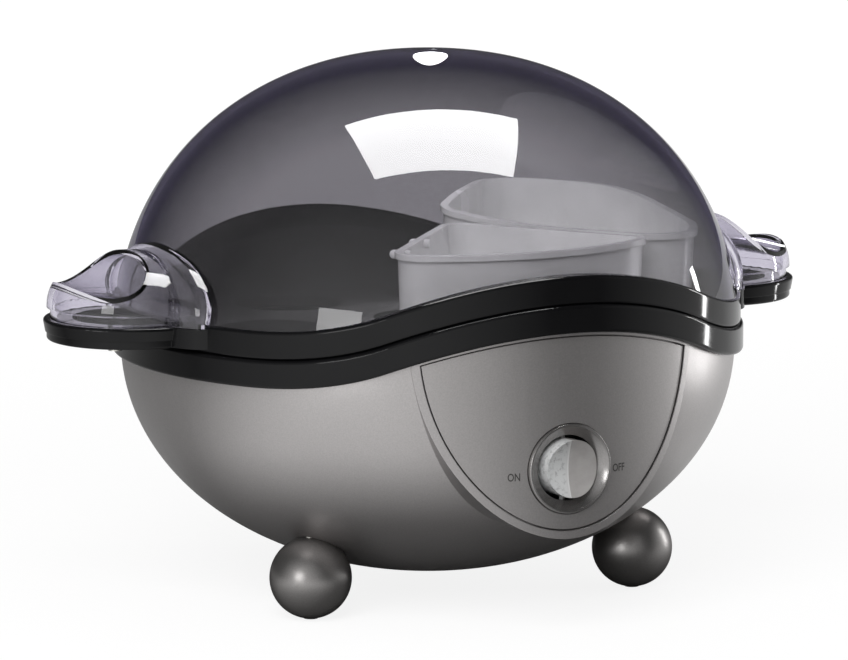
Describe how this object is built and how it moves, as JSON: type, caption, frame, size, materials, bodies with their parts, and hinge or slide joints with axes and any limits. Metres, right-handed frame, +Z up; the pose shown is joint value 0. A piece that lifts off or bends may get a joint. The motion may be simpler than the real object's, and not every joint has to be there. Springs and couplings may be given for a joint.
{
  "type": "egg boiler",
  "caption": "Round tabletop egg cooker: bowl-shaped base on ball feet, wavy black rings, clear dome lid with hooded handles, egg rack and steaming bowls.",
  "frame": {"origin": "on the floor, under the bowl's axis", "axes": "+Z up, -Y out of the front with the control panel, the handles along X"},
  "size_m": [0.239, 0.185, 0.1583],
  "materials": {
    "silver_paint": "satin silver",
    "silver_panel": "fine satin",
    "black_gloss": "gloss black",
    "gunmetal": "dark metallic",
    "graphite": "satin graphite",
    "black_matte": "moulded black",
    "smoked_clear": "clear smoky plastic",
    "clear_button": "clear plastic",
    "stainless": "pressed stainless",
    "aluminium": "mill finish",
    "plated_steel": "zinc plated",
    "brass": "plain",
    "rubber": "moulded",
    "silicone": "moulded",
    "white_gloss": "gloss white",
    "cream_plastic": "moulded"
  },
  "bodies": {
    "base": {"bowl_housing": "silver_paint", "control_panel": "silver_panel", "switch_bezel": "gunmetal", "switch_body": "black_matte", "pilot_lamp": "clear_button", "base_ring": "black_gloss", "rim_screws": "plated_steel", "inner_basin": "black_matte", "plate_gasket": "silicone", "heating_plate": "stainless", "heating_element": "stainless", "thermostat": "aluminium", "heat_shield": "aluminium", "plate_studs": "plated_steel", "stud_nuts": "plated_steel", "thermal_fuse": "brass", "fuse_clip": "plated_steel", "terminal_block": "cream_plastic", "buzzer": "black_matte", "cord_gland": "rubber", "foot_front_left": "graphite", "foot_front_right": "graphite", "foot_back": "graphite", "foot_pads": "rubber", "foot_screws": "plated_steel"},
    "rocker": {"rocker_button": "clear_button"},
    "lid": {"dome": "smoked_clear", "lid_ring": "black_gloss", "hood_left": "smoked_clear", "hood_right": "smoked_clear", "hood_screws": "plated_steel"},
    "rack": {"egg_rack": "black_gloss"},
    "front_bowl": {"container_front": "white_gloss"},
    "back_bowl": {"container_back": "white_gloss"}
  },
  "joints": [
    {"name": "rocker_hinge", "type": "hinge", "parent": "base", "child": "rocker", "pos_m": [0, -0.085, 0.0489], "axis": [0, 0, 1], "range_deg": [-12, 0]},
    {"name": "lid_lift", "type": "slide", "parent": "base", "child": "lid", "axis": [0, 0, 1], "range_m": [0, 0.2]},
    {"name": "rack_lift", "type": "slide", "parent": "base", "child": "rack", "axis": [0, 0, 1], "range_m": [0, 0.07]},
    {"name": "front_bowl_lift", "type": "slide", "parent": "base", "child": "front_bowl", "axis": [0, 0, 1], "range_m": [0, 0.12]},
    {"name": "back_bowl_lift", "type": "slide", "parent": "base", "child": "back_bowl", "axis": [0, 0, 1], "range_m": [0, 0.12]}
  ],
  "couplings": [
    {"joint": "rack_lift", "follows": "lid_lift", "ratio": 0.35},
    {"joint": "front_bowl_lift", "follows": "lid_lift", "ratio": 0.6},
    {"joint": "back_bowl_lift", "follows": "lid_lift", "ratio": 0.6}
  ]
}
